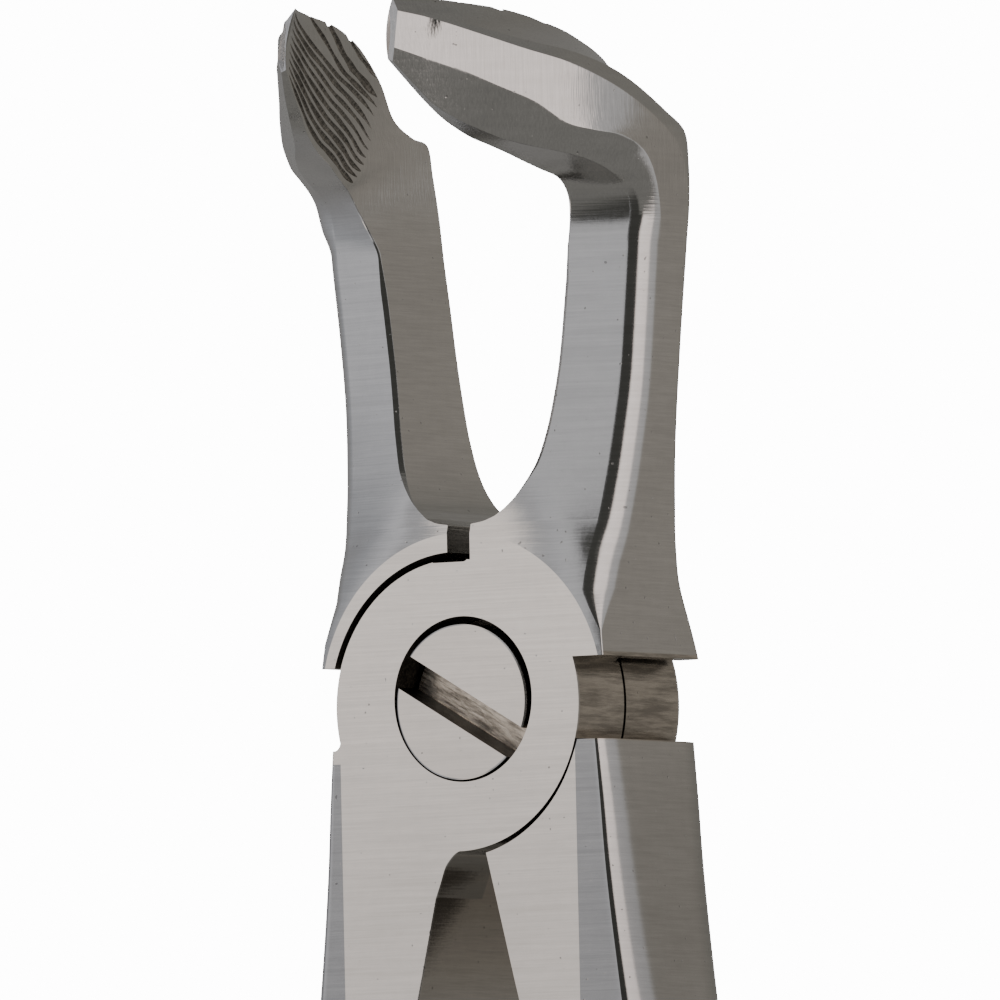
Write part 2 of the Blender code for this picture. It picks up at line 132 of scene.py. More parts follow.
LEAN = 0.27                 # slope of the arm's front where it turns into the side
ARRIS = 0.07                # how far each ground edge of the beak is broken

# ---------------------------------------------------------------- handle, right hand
HANDLE = [(HANDLE_TOP, 0.0, 8.6), (-5.0, 0.62, 8.9), (-8.2, 1.4, 9.2), (-11.8, 2.27, 9.62),
          (-15.5, 3.17, 10.15), (-22.0, 4.95, 11.35), (-32.0, 8.3, 14.2), (-45.0, 13.0, 19.2),
          (-60.0, 17.7, 24.8), (-75.0, 21.2, 28.9), (-90.0, 23.1, 31.1), (-105.0, 23.1, 31.0),
          (-118.0, 21.8, 29.0), (-127.0, 20.6, 27.5), (-132.0, 20.5, 27.4)]
ROUNDING = [(HANDLE_TOP, 9.36, 0.6, 1.9, 0.05, 0.05), (-5.0, 9.36, 0.7, 2.0, 0.05, 0.05),
            (-8.2, 9.36, 0.8, 2.2, 0.08, 0.08), (-15.5, 9.36, 1.0, 2.6, 0.12, 0.12),
            (-30.0, 9.3, 2.4, 3.2, 0.6, 0.6), (-50.0, 9.3, 4.2, 4.3, 1.2, 1.6),
            (-90.0, 9.3, 4.8, 4.55, 1.6, 2.2), (-118.0, 9.1, 4.2, 4.4, 1.5, 2.0),
            (-132.0, 8.9, 4.0, 4.3, 1.5, 2.0)]
FACET_FRONT = 6.75
FACET_BACK = 7.4
FACET_FALL = 0.16
FACET_END = -34.0
HANDLE_END = 2.6

# ---------------------------------------------------------------- gripping faces and grips
GROOVES = 9
GROOVE_STEPS = 22
KNURL_TOP = -46.0
KNURL_END = -124.0
KNURL_PITCH = 1.5
KNURL_HEIGHT = 0.62
KNURL_SINK = 0.2
GRIP_REACH = 3.6            # how far the grip comes in from the handle's outermost line
GRIP_MARGIN = 0.4

# ---------------------------------------------------------------- fineness
BEAK_STEPS = 10             # rings between two rows of the beak's edges
FRONT_STEPS = 27            # the six runs of a jaw's section, the same on the arm and the beak
CORNER_STEPS = 20
SIDE_STEPS = 8
BACK_CORNER_STEPS = 14
BACK_STEPS = 12
PAD_STEPS = 10
CIRCLE = 360
WELD = 1e-8                 # metres, between a bar's cap and its wall
CREASE_ANGLE = 8.5          # degrees, past which an edge stays crisp

# ---------------------------------------------------------------- camera
VIEW_AZIMUTH = 34.0
VIEW_ELEVATION = -3.0
VIEW_ROLL = 1.2
VIEW_WIDTH = 0.05128        # metres across the view at the joint
VIEW_RIGHT = 0.001974       # metres from the joint's centre to the middle of the view
VIEW_UP = 0.010256
LENS = 1000.0
SENSOR = 36.0


def within(value, low, high):
    return min(max(value, low), high)


def spline(points, per_span):
    """A Catmull-Rom curve through the points, with per_span steps between neighbours."""
    p = np.array(points, float)
    p = np.vstack([2 * p[0] - p[1], p, 2 * p[-1] - p[-2]])
    out = []
    for i in range(1, len(p) - 2):
        for t in np.arange(per_span) / per_span:
            a, b, c, d = p[i - 1:i + 3]
            out.append(0.5 * (2 * b + (c - a) * t + (2 * a - 5 * b + 4 * c - d) * t * t
                              + (3 * b - a - 3 * c + d) * t ** 3))
    out.append(p[-2])
    return np.array(out)


def along(table, z):
    """The table's columns at height z, on a smooth curve through its rows."""
    rows = sorted(table)
    zs = np.array([row[0] for row in rows])
    values = np.array([row[1:] for row in rows], float)
    slopes = np.gradient(values, zs, axis=0)
    z = within(z, zs[0], zs[-1])
    i = within(int(np.searchsorted(zs, z)) - 1, 0, len(zs) - 2)
    h = zs[i + 1] - zs[i]
    t = (z - zs[i]) / h
    rise = (values[i + 1] - values[i]) / h
    low = np.where(slopes[i] * rise <= 0, 0.0, np.clip(slopes[i], -3 * abs(rise), 3 * abs(rise)))
    high = np.where(slopes[i + 1] * rise <= 0, 0.0, np.clip(slopes[i + 1], -3 * abs(rise), 3 * abs(rise)))
    return ((2 * t ** 3 - 3 * t * t + 1) * values[i] + (t ** 3 - 2 * t * t + t) * h * low
            + (3 * t * t - 2 * t ** 3) * values[i + 1] + (t ** 3 - t * t) * h * high)


def straight(a, b, steps):
    """A run from a to b, both ends in."""
    return [a + (b - a) * k / steps for k in range(steps + 1)]


def swept(a, corner, b, steps, bulge=1.0):
    """A round corner from a to b, both ends in; bulge 0 makes it a flat facet."""
    h1 = a + (corner - a) * 0.58
    h2 = b + (corner - b) * 0.58
    run = []
    for k in range(steps + 1):
        t = k / steps
        curve = (1 - t) ** 3 * a + 3 * t * (1 - t) ** 2 * h1 + 3 * t * t * (1 - t) * h2 + t ** 3 * b
        flat = a + (b - a) * t
        run.append(flat + (curve - flat) * bulge)
    return run


def joined(runs, arris):
    """A closed ring of runs, with the sharp corner between two runs broken by its arris."""
    ring = []
    for n, run in enumerate(runs):
        before = runs[n - 1]
        corner = run[0]
        step_in = before[-2] - corner
        step_out = run[1] - corner
        share_in = min(arris[n] / max(np.linalg.norm(step_in), 1e-6), 0.45)
        share_out = min(arris[n] / max(np.linalg.norm(step_out), 1e-6), 0.45)
        a = corner + step_in * share_in
        b = corner + step_out * share_out
        ring += [a, (a + b) * 0.25 + corner * 0.5, b]
        ring += run[1:-1]
    return np.array(ring)


def setback(table, x, z, share):
    """How far the arm lies behind the joint's face; negative inside the boss, where a flat cut trims it."""
    inner, outer = along(table, math.hypot(x, z))
    return inner + (outer - inner) * share


def arm_ring(z):
    """One level section of the jaw's arm, as six runs joined into a ring."""
    outer_x = along(ARM_SIDE, z)[0]
    inner_x = along(CROTCH, z)[0]
    rx, ry = (r * within((z - 3.2) / 2.2, 0.06, 1.0) for r in ARM_FRONT_RADIUS)
    back_radius = ARM_BACK_RADIUS * min(1.0, 0.3 + (z - JAW_FOOT) / 6.0)
    fade = within((z - 10.0) / 2.0, 0.05, 1.0) * within((24.5 - z) / 3.0, 0.3, 1.0)
    cx, cy = INNER_CHAMFER[0] * fade, INNER_CHAMFER[1] * fade
    front = []
    for share in np.linspace(0.0, 1.0, FRONT_STEPS):
        x = inner_x + cx + (outer_x - rx - inner_x - cx) * share
        part = (x - inner_x) / (outer_x - inner_x)
        front.append(np.array((x, setback(FRONT_SETBACK, x, z, part), z)))
    slope = (front[-1][1] - front[-2][1]) / (front[-1][0] - front[-2][0])
    corner = np.array((outer_x, front[-1][1] + slope * rx, z))
    side_start = corner + np.array((0.0, ry, 0.0))
    back_edge = DEPTH - setback(BACK_SETBACK, outer_x, z, 1.0)
    side_end = np.array((outer_x, back_edge - back_radius, z))
    back_start = np.array((outer_x - back_radius, back_edge, z))
    back = []
    for share in np.linspace(1.0, 0.0, BACK_STEPS + 1):
        x = inner_x + (back_start[0] - inner_x) * share
        back.append(np.array((x, DEPTH - setback(BACK_SETBACK, x, z, share), z)))
    inner_front = np.array((inner_x, front[0][1] + cy, z))
    runs = [straight(inner_front, front[0], 1)[:1] + front,
            swept(front[-1], corner, side_start, CORNER_STEPS),
            straight(side_start, side_end, SIDE_STEPS),
            swept(side_end, np.array((outer_x, back_edge, z)), back[0], BACK_CORNER_STEPS),
            back,
            straight(back[-1], inner_front, PAD_STEPS)]
    return joined(runs, [0.03, 0.0005, 0.0005, 0.0005, 0.0005, 0.08])


def arm_corners(z):
    """The six edges of the bend where they cross the arm at height z."""
    outer_x = along(ARM_SIDE, z)[0]
    inner_x = along(CROTCH, z)[0]
    rx, ry = ARM_FRONT_RADIUS
    x = outer_x - rx
    part = (x - inner_x) / (outer_x - inner_x)
    front = setback(FRONT_SETBACK, x, z, part)
    lean = front + LEAN * rx
    inner_y = setback(FRONT_SETBACK, inner_x, z, 0.0) + 0.1
    back = DEPTH - setback(BACK_SETBACK, outer_x, z, 1.0)
    inner_back = DEPTH - setback(BACK_SETBACK, inner_x, z, 0.0)
    return ((inner_x, inner_y, z), (x, front, z), (outer_x, lean + ry, z),
            (outer_x, back - ARM_BACK_RADIUS, z), (outer_x - ARM_BACK_RADIUS, back, z),
            (inner_x, inner_back, z))


def edge_lines(soft=False):
    """The six edges of the bend and the beak, running on from the arm; soft rounds the bend more."""
    below = np.array(arm_corners(ARM_TOP - 1.0))
    start = np.array(arm_corners(ARM_TOP))
    heel = SOFT_HEEL + HEEL_LOWER[len(SOFT_HEEL):] if soft else HEEL_LOWER
    side = SOFT_SIDE + SIDE_LOWER[len(SOFT_SIDE):] if soft else SIDE_LOWER
    edges = (INNER_LOWER, heel, side, SIDE_UPPER, TOP_OUTER, TOP_INNER)
    lines = []
    for a, b, edge in zip(below, start, edges):
        lead = np.array(edge[0]) - (b - a) * 2 * (edge[0][2] - ARM_TOP)
        lines.append(spline([lead, b] + edge, BEAK_STEPS)[BEAK_STEPS:])
    return lines


def front_hollow():
    """How far the arm's front face bows away from a straight line where the bend begins."""
    inner, heel = (np.array(p) for p in arm_corners(ARM_TOP)[:2])
    outer_x = along(ARM_SIDE, ARM_TOP)[0]
    bow = []
    for k in range(FRONT_STEPS + 1):
        x = inner[0] + (heel[0] - inner[0]) * k / FRONT_STEPS
        y = setback(FRONT_SETBACK, x, ARM_TOP, (x - inner[0]) / (outer_x - inner[0]))
        bow.append(y - inner[1] - (heel[1] - inner[1]) * k / FRONT_STEPS)
    bow[0] = 0.0
    return bow


def tip_bow(share):
    """How far the gripping face bows out at its middle, near the tip."""
    return np.array((0.0, -TIP_BOW, 0.0)) * max(0.0, 1.0 - (1.0 - share) * 9.0)


def beak_rings(soft=False):
    """The sections of the bend and the beak, each through the same six edges."""
    lines = edge_lines(soft)
    hollow = front_hollow()
    rings = []
    last = len(lines[0]) - 1
    for row in range(1, last + 1):
        inner, heel, lower, upper, outer, top = (line[row] for line in lines)
        share = row / last
        bulge = max(0.0, 1.0 - 2.6 * share)
        lean = LEAN * (lower[0] - heel[0]) / (lower[1] - heel[1]) * max(0.0, 1.0 - 4.0 * share)
        corner = heel + (lower - heel) * np.array((1.0, lean, 0.3))
        cap = upper + (outer - upper) * np.array((0.0, 1.0, 1.0))
        bow = tip_bow(share)
        pad = straight(top, inner, PAD_STEPS)
        for k in range(1, PAD_STEPS):
            pad[k] = pad[k] + bow * 4 * k / PAD_STEPS * (1 - k / PAD_STEPS)
        arris = ARRIS * min(1.0, share * 3.0)
        fade = max(0.0, 1.0 - 5.0 * share)
        front = [p + np.array((0.0, hollow[k] * fade, 0.0))
                 for k, p in enumerate(straight(inner, heel, FRONT_STEPS))]
        runs = [front,
                swept(heel, corner, lower, CORNER_STEPS, bulge),
                straight(lower, upper, SIDE_STEPS),
                swept(upper, cap, outer, BACK_CORNER_STEPS, bulge),
                straight(outer, top, BACK_STEPS),
                pad]
        rings.append(joined(runs, [0.05, arris, arris, arris * 0.6, arris * 0.6, 0.06]))
    return rings


def arm_levels():
    """Ring heights: even steps on the arm, and even steps along the curve of the crotch."""
    zs = np.linspace(9.1, 12.0, 3000)
    xs = np.array([along(CROTCH, z)[0] for z in zs])
    run = np.concatenate([[0.0], np.cumsum(np.hypot(np.diff(zs), np.diff(xs)))])
    crotch = np.interp(np.linspace(0.0, run[-1], 60), run, zs)
    return list(np.linspace(JAW_FOOT, 9.05, 34)) + list(crotch) + list(np.linspace(12.2, ARM_TOP, 48))


def jaw_rings(soft=False):
    """The right jaw, foot to tip."""
    return [arm_ring(z) for z in arm_levels()] + beak_rings(soft)


def leftward(points):
    """A point of the right jaw moved to the left one."""
    points = np.atleast_2d(points)
    drop = LEFT_DROP * np.clip((points[:, 2] - 20.0) / 8.0, 0.0, 1.0)
    at_bend = np.exp(-((points[:, 2] - 26.6) / 1.7) ** 2)
    tuck = LEFT_TUCK * at_bend * np.clip((points[:, 0] - 6.5) / 3.0, 0.0, 1.0)
    return np.column_stack([tuck - points[:, 0], points[:, 1], points[:, 2] - drop])


def left_jaw_rings():
    """The mirror of the right jaw, with its beak a little lower."""
    return [leftward(ring)[::-1] for ring in jaw_rings()]


def handle_ring(z, scale=1.0):
    """One level section of the right handle: a block with four rounded corners and eased faces."""
    inner_x, outer_x = along(HANDLE, z)
    depth, ox, oy, ix, iy = along(ROUNDING, z)
    middle = (inner_x + outer_x) / 2
    half_x = (outer_x - inner_x) / 2
    half_y = depth / 2
    fall = FACET_FALL * within((z - FACET_END) / 15.0, 0.0, 1.0)
    facets = [max(x, inner_x + ix + 0.1) - middle for x in (FACET_BACK, FACET_FRONT)]
    arcs = []
    corners = ((1, -1, ox, oy), (1, 1, ox, oy), (-1, 1, ix, iy), (-1, -1, ix, iy))
    for n, (sx, sy, rx, ry) in enumerate(corners):
        rx = min(rx, half_x)
        ry = min(ry, half_y)
        arcs.append([np.array((sx * (half_x - rx) + rx * math.cos(a), sy * (half_y - ry) + ry * math.sin(a)))
                     for a in np.radians(np.linspace(-90, 0, 21) + 90 * n)])
    ring = []
    for n in range(4):
        ring += arcs[n]
        a, b = arcs[n][-1], arcs[(n + 1) % 4][0]
        if n % 2 == 0:
            ring += straight(a, b, 6)[1:-1]
            continue
        share = within((facets[n // 2] - a[0]) / (b[0] - a[0]), 0.03, 0.97)
        crease = a + (b - a) * share
        ring += straight(a, crease, 7)[1:] + straight(crease, b, 7)[1:-1]
    out = []
    for x, y in ring:
        y *= 1.0 - fall * max(0.0, x - facets[0 if y > 0 else 1]) / half_y
        out.append((middle + x * scale, DEPTH / 2 + y * scale, z))
    return np.array(out)


def handle_rings():
    """The right handle, top to end, with a domed end."""
    levels = list(np.linspace(HANDLE_TOP, -20.0, 46)) + list(np.linspace(-21.0, -132.0, 112))
    rings = [handle_ring(z) for z in levels]
    for turn in np.radians(np.linspace(8, 84, 12)):
        ring = handle_ring(-132.0, math.cos(turn))
        ring[:, 2] -= HANDLE_END * math.sin(turn)
        rings.append(ring)
    return rings


def left_handle_rings():
    """The right handle turned half round the tool's long axis."""
    return [np.column_stack([-ring[:, 0], DEPTH - ring[:, 1], ring[:, 2]]) for ring in handle_rings()]


# ---------------------------------------------------------------- solids

def in_frame(points):
    """Millimetre points in the frame's metres."""
    return (np.array(points, float) - np.array((0.0, DEPTH, 0.0))) * MM


def added(name, data):
    """A new object at the origin."""
    obj = bpy.data.objects.new(name, data)
    bpy.context.scene.collection.objects.link(obj)
    return obj


def faced_outward(mesh, weld=None):
    """Turns every face outward, after joining points closer than weld."""
    body = bmesh.new()
    body.from_mesh(mesh)
    if weld:
        bmesh.ops.remove_doubles(body, verts=body.verts, dist=weld)
    bmesh.ops.recalc_face_normals(body, faces=body.faces)
    body.to_mesh(mesh)
    body.free()


def settled(obj):
    """Leaves the object as the plain mesh that its modifiers make."""
    graph = bpy.context.evaluated_depsgraph_get()
    mesh = bpy.data.meshes.new_from_object(obj.evaluated_get(graph))
    obj.modifiers.clear()
    old = obj.data
    obj.data = mesh
    bpy.data.meshes.remove(old)


def shaped(name, points, faces):
    """A mesh object in the frame, from millimetre points."""
    mesh = bpy.data.meshes.new(name)
    mesh.from_pydata([tuple(p) for p in in_frame(points)], [], [tuple(f) for f in faces])
    faced_outward(mesh)
    return added(name, mesh)


def loft(name, rings):
    """A closed skin over the rings, each end closed by one face."""
    count = len(rings[0])
    faces = []
    for r in range(len(rings) - 1):
        for k in range(count):
            nxt = (k + 1) % count
            faces.append((r * count + k, r * count + nxt,
                          (r + 1) * count + nxt, (r + 1) * count + k))
    faces.append(tuple(range(count))[::-1])
    faces.append(tuple(range((len(rings) - 1) * count, len(rings) * count)))
    return shaped(name, np.vstack(rings), faces)


def prism(name, outline, y0, y1):
    """An (x, z) outline carried from depth y0 to depth y1."""
    return loft(name, [np.array([(x, y, z) for x, z in outline]) for y in (y0, y1)])


def circle(centre, radius, gap=None):
    """An (x, z) outline round the centre; gap gives extra radius as a function of the angle in degrees."""
    points = []
    for k in range(CIRCLE):
        degrees = 360.0 * k / CIRCLE
        angle = math.radians(degrees)
        r = radius + (gap(degrees) if gap else 0.0)
        points.append((centre[0] + r * math.cos(angle), centre[1] + r * math.sin(angle)))
    return points


def front_gap(angle):
    """Clearance round the front disc: tight low on the right, opening towards the bottom slot."""
    if angle < 20.0:
        return TIGHT_GAP
    if angle < 200.0:
        return SHOULDER_GAP
    share = within((angle - 260.0) / 75.0, 0.0, 1.0)
    return SHOULDER_GAP + (TIGHT_GAP - SHOULDER_GAP) * share


def slot_outline():
    """The slot between the right jaw's root and the left jaw's shoulder, with its round lower corner."""
    outline = [(-1.6, 10.5), (-1.6, 7.2)]
    for angle in np.radians(np.linspace(-90, 0, 16)):
        outline.append((SLOT_ROOT - SLOT_CORNER + SLOT_CORNER * math.cos(angle),
                        7.2 + SLOT_CORNER + SLOT_CORNER * math.sin(angle)))
    outline.append((SLOT_ROOT + 0.2, 10.5))
    return outline


def web_outline():
    """The rounded root between the front disc and the left handle's inner edge."""
    root = spline([(-1.84, -10.0), (-1.55, -9.3), (-1.24, -8.5), (-0.95, -8.1), (-0.55, -7.75),
                   (0.1, -7.5)], 8)
    return [(-2.6, -6.4), (-2.6, -10.0)] + [tuple(p) for p in root] + [(0.1, -6.4)]


def notch_web():
    """The small fillet between the front disc's rim and the top of the left handle."""
    foot = spline([(-8.05, -2.24), (-7.83, -2.17), (-7.68, -2.04), (-7.58, -1.8), (-7.54, -1.45)], 6)
    return [(-7.0, -1.2), (-7.0, -2.9), (-8.05, -2.9)] + [tuple(p) for p in foot]


def turned(outline):
    """The same outline seen from the back."""
    return [(-x, z) for x, z in outline][::-1]


def cut(target, other, operation, finish=None):
    """Joins or cuts, keeps the result as a plain mesh, and gives the new faces their finish."""
    other.data.materials.clear()
    other.data.materials.append(finish or target.data.materials[0])
    modifier = target.modifiers.new("cut", "BOOLEAN")
    modifier.operation = operation
    modifier.solver = "MANIFOLD"
    modifier.object = other
    modifier.material_mode = "TRANSFER"
    settled(target)
    bpy.data.objects.remove(other, do_unlink=True)


def ground_flat(half):
    """Grinds the joint and the handle flat, front and back, clear of the beak."""
    over = [(-45, -140), (45, -140), (45, 12), (-45, 12)]
    for y0, y1 in ((-3.0, 0.0), (DEPTH, DEPTH + 3.0)):
        cut(half, prism("grind", over, y0, y1), "DIFFERENCE")


def build_front_half(steel_finish, recess):
    """The right jaw, the front disc with the screw's bore, and the left handle."""
    half = loft("front_half_steel", jaw_rings(soft=True))
    half.data.materials.append(steel_finish)
    cut(half, loft("stock", left_handle_rings()), "UNION")
    cut(half, prism("stock", circle(DISC_CENTRE, DISC_RADIUS), -0.5, FRONT_LAP + 0.6), "UNION")
    cut(half, prism("stock", web_outline(), -0.5, FRONT_LAP), "UNION")
    cut(half, prism("stock", notch_web(), -0.5, FRONT_LAP), "UNION")
    ground_flat(half)
    room = circle(DISC_CENTRE, DISC_RADIUS + SHOULDER_GAP)
    cut(half, prism("room", room, FRONT_LAP, 12.0), "DIFFERENCE", recess)
    cut(half, prism("slot", slot_outline(), -1.0, FRONT_LAP), "DIFFERENCE", recess)
    cut(half, prism("bore", circle(BORE_CENTRE, BORE_RADIUS), -1.0, BORE_DEPTH), "DIFFERENCE", recess)
    hole = circle((0.0, 0.0), SHANK_RADIUS + SHANK_GAP)
    cut(half, prism("hole", hole, -1.0, 6.0), "DIFFERENCE", recess)
    return half


def build_rear_half(steel_finish, recess):
    """The left jaw, the rear disc with the screw's blind hole, and the right handle."""
    half = loft("rear_half_steel", left_jaw_rings())
    half.data.materials.append(steel_finish)
    cut(half, loft("stock", handle_rings()), "UNION")
    cut(half, prism("stock", circle(DISC_CENTRE, DISC_RADIUS), REAR_LAP - 0.6, DEPTH + 0.5), "UNION")
    cut(half, prism("stock", turned(web_outline()), REAR_LAP, DEPTH + 0.5), "UNION")
    ground_flat(half)
    room = circle(DISC_CENTRE, DISC_RADIUS, front_gap)
    cut(half, prism("room", room, -2.0, REAR_LAP), "DIFFERENCE", recess)
    cut(half, prism("slot", turned(slot_outline()), REAR_LAP, 12.0), "DIFFERENCE", recess)
    hole = circle((0.0, 0.0), SHANK_RADIUS + SHANK_GAP)
    cut(half, prism("hole", hole, 1.0, SHANK_END + SHANK_GAP), "DIFFERENCE", recess)
    return half


def build_screw(steel_finish, rough_finish):
    """Head and shank in one turned body, with the driver slot across the head."""
    profile = [(SHANK_RADIUS - 0.35, SHANK_END), (SHANK_RADIUS, SHANK_END - 0.35),
               (SHANK_RADIUS, HEAD_DEPTH), (HEAD_RADIUS, HEAD_DEPTH), (HEAD_RADIUS, 0.06),
               (HEAD_RADIUS - 0.03, 0.0), (HEAD_RADIUS - 0.1, -HEAD_PROUD)]
    rings = [np.array([(x, y, z) for x, z in circle((0.0, 0.0), radius)]) for radius, y in profile]
    screw = loft("pivot_screw_steel", rings)
    screw.data.materials.append(steel_finish)
    turn = math.radians(-DRIVE_TURN)
    across = np.array((math.cos(turn), math.sin(turn)))
    normal = np.array((-math.sin(turn), math.cos(turn)))
    outline = []
    for a, b in ((-6, -0.5), (6, -0.5), (6, 0.5), (-6, 0.5)):
        outline.append(tuple(across * a + normal * (b * DRIVE_WIDTH + DRIVE_OFFSET)))
    cut(screw, prism("driver", outline, -1.0, DRIVE_DEPTH), "DIFFERENCE", rough_finish)
    return screw


def pad_point(lines, share, s):
    """A point of the right beak's gripping face: share 0 is the arm and 1 the tip, s runs top to bottom."""
    last = len(lines[0]) - 1
    row = within(share, 0.0, 0.9999) * last
    i = int(row)
    top = lines[5][i] + (lines[5][i + 1] - lines[5][i]) * (row - i)
    inner = lines[0][i] + (lines[0][i + 1] - lines[0][i]) * (row - i)
    bow = tip_bow(share)
    return top + (inner - top) * s + bow * 4 * s * (1 - s)


def groove_paths():
    """The gripping face's grooves, in (share, s): start, middle bow, end and radius of each."""
    paths = [((0.70, -0.03), 0.045, (0.52, 0.03), 0.16), ((0.785, -0.03), 0.14, (0.487, 0.11), 0.27),
             ((0.86, -0.03), 0.2, (0.475, 0.165), 0.18)]
    for n in range(GROOVES):
        t = n / (GROOVES - 1)
        s_end = 0.235 + 0.66 * t
        paths.append(((0.965, 0.06 + 0.86 * t), 0.17 * (1 - t) + 0.02, (0.515 - 0.23 * s_end, s_end),
                      0.15 + 0.07 * float(rng.random())))
    return paths


def groove_lines(side):
    """The points of the grooves' centre lines, groove by groove, and the radius at each."""
    lines = edge_lines()
    points, sizes = [], []
    for start, bow, end, radius in groove_paths():
        sway = float(rng.normal()) * 0.003
        for k in range(GROOVE_STEPS + 1):
            t = k / GROOVE_STEPS
            share = start[0] + (end[0] - start[0]) * t
            s = start[1] + (end[1] - start[1]) * t + bow * 4 * t * (1 - t) + sway * math.sin(9 * t)
            p = pad_point(lines, share, s)
            outward = np.cross(pad_point(lines, share, s + 0.02) - p, pad_point(lines, share + 0.02, s) - p)
            outward /= np.linalg.norm(outward)
            if outward[0] > 0:
                outward = -outward
            taper = min(1.0, 0.45 + 5 * t, 0.35 + 6 * (1 - t))
            p = p + outward * radius * 0.35
            points.append(leftward(p)[0] if side == "left" else p)
            sizes.append(radius * taper * (1.0 + 0.12 * math.sin(23 * t + radius * 400.0)) * MM)
    return points, sizes


def shape_tree(name, *inputs):
    """A tree with the named inputs and a Finish, and one Geometry output."""
    tree = bpy.data.node_groups.new(name, "GeometryNodeTree")
    for title, kind in (*inputs, ("Finish", "Material")):
        socket(tree, title, kind)
    socket(tree, "Geometry", "Geometry", way="OUTPUT")
    return tree, node(tree, "NodeGroupInput"), node(tree, "NodeGroupOutput")


def finished(tree, shape, gin, gout):
    """Ends the tree in plain geometry with its Finish on."""
    real = node(tree, "GeometryNodeRealizeInstances")
    link(tree, shape, real.inputs["Geometry"])
    finish = node(tree, "GeometryNodeSetMaterial")
    link(tree, real.outputs["Geometry"], finish.inputs["Geometry"])
    link(tree, gin.outputs["Finish"], finish.inputs["Material"])
    link(tree, finish.outputs["Geometry"], gout.inputs["Geometry"])


def groove_tree():
    """Loose edges into round bars of the stored radius, to be cut out of the steel."""
    tree, gin, gout = shape_tree("groove_bars", ("Lines", "Geometry"), ("Sides", "Int"))
    curve = node(tree, "GeometryNodeMeshToCurve")
    link(tree, gin.outputs["Lines"], curve.inputs["Mesh"])
    stored = node(tree, "GeometryNodeInputNamedAttribute", data_type="FLOAT")
    stored.inputs["Name"].default_value = "bar_radius"
    profile = node(tree, "GeometryNodeCurvePrimitiveCircle")
    profile.inputs["Radius"].default_value = 1.0
    link(tree, gin.outputs["Sides"], profile.inputs["Resolution"])
    bars = node(tree, "GeometryNodeCurveToMesh")
    bars.inputs["Fill Caps"].default_value = True
    link(tree, curve.outputs["Curve"], bars.inputs["Curve"])
    link(tree, stored.outputs["Attribute"], bars.inputs["Scale"])
    link(tree, profile.outputs["Curve"], bars.inputs["Profile Curve"])
    finished(tree, bars.outputs["Mesh"], gin, gout)
    return tree


def grown(obj, tree, **values):
    """Runs the tree on the object with the named inputs set, and leaves a plain mesh."""
    modifier = obj.modifiers.new("grown", "NODES")
    modifier.node_group = tree
    for item in tree.interface.items_tree:
        if item.in_out == "INPUT" and item.name in values:
            modifier[item.identifier] = values[item.name]
    settled(obj)


def cut_grooves(half, side, tree, finish):
    """Cuts the ground grooves into a beak's gripping face."""
    points, sizes = groove_lines(side)
    count = GROOVE_STEPS + 1
    for n in range(0, len(points), count):
        mesh = bpy.data.meshes.new("groove")
        run = in_frame(points[n:n + count])
        mesh.from_pydata([tuple(p) for p in run], [(k, k + 1) for k in range(GROOVE_STEPS)], [])
        mesh.attributes.new("bar_radius", "FLOAT", "POINT").data.foreach_set("value", sizes[n:n + count])
        bar = added("groove", mesh)
        grown(bar, tree, Sides=10, Finish=finish)
        faced_outward(bar.data, WELD)
        cut(half, bar, "DIFFERENCE", finish)


def knurl_tree():
    """A low pyramid on every point, turned to the stored outward direction."""
    tree, gin, gout = shape_tree("grip_knurl", ("Points", "Geometry"), ("Width", "Float"),
                                 ("Height", "Float"))
    stored = node(tree, "GeometryNodeInputNamedAttribute", data_type="FLOAT_VECTOR")
    stored.inputs["Name"].default_value = "outward"
    turn = node(tree, "FunctionNodeAlignRotationToVector", axis="Z")
    link(tree, stored.outputs["Attribute"], turn.inputs["Vector"])
    stud = node(tree, "GeometryNodeMeshCone", fill_type="NGON")
    stud.inputs["Vertices"].default_value = 4
    link(tree, gin.outputs["Width"], stud.inputs["Radius Bottom"])
    flat_top = node(tree, "ShaderNodeMath", operation="MULTIPLY")
    flat_top.inputs[1].default_value = 0.14
    link(tree, gin.outputs["Width"], flat_top.inputs[0])
    link(tree, flat_top.outputs[0], stud.inputs["Radius Top"])
    link(tree, gin.outputs["Height"], stud.inputs["Depth"])
    placed = node(tree, "GeometryNodeInstanceOnPoints")
    link(tree, gin.outputs["Points"], placed.inputs["Points"])
    link(tree, stud.outputs["Mesh"], placed.inputs["Instance"])
    link(tree, turn.outputs["Rotation"], placed.inputs["Rotation"])
    uneven = node(tree, "FunctionNodeRandomValue", data_type="FLOAT")
    uneven.inputs[2].default_value = 0.95
    uneven.inputs[3].default_value = 1.04
    uneven.inputs["Seed"].default_value = 11
    link(tree, uneven.outputs[1], placed.inputs["Scale"])
    finished(tree, placed.outputs["Instances"], gin, gout)
    return tree


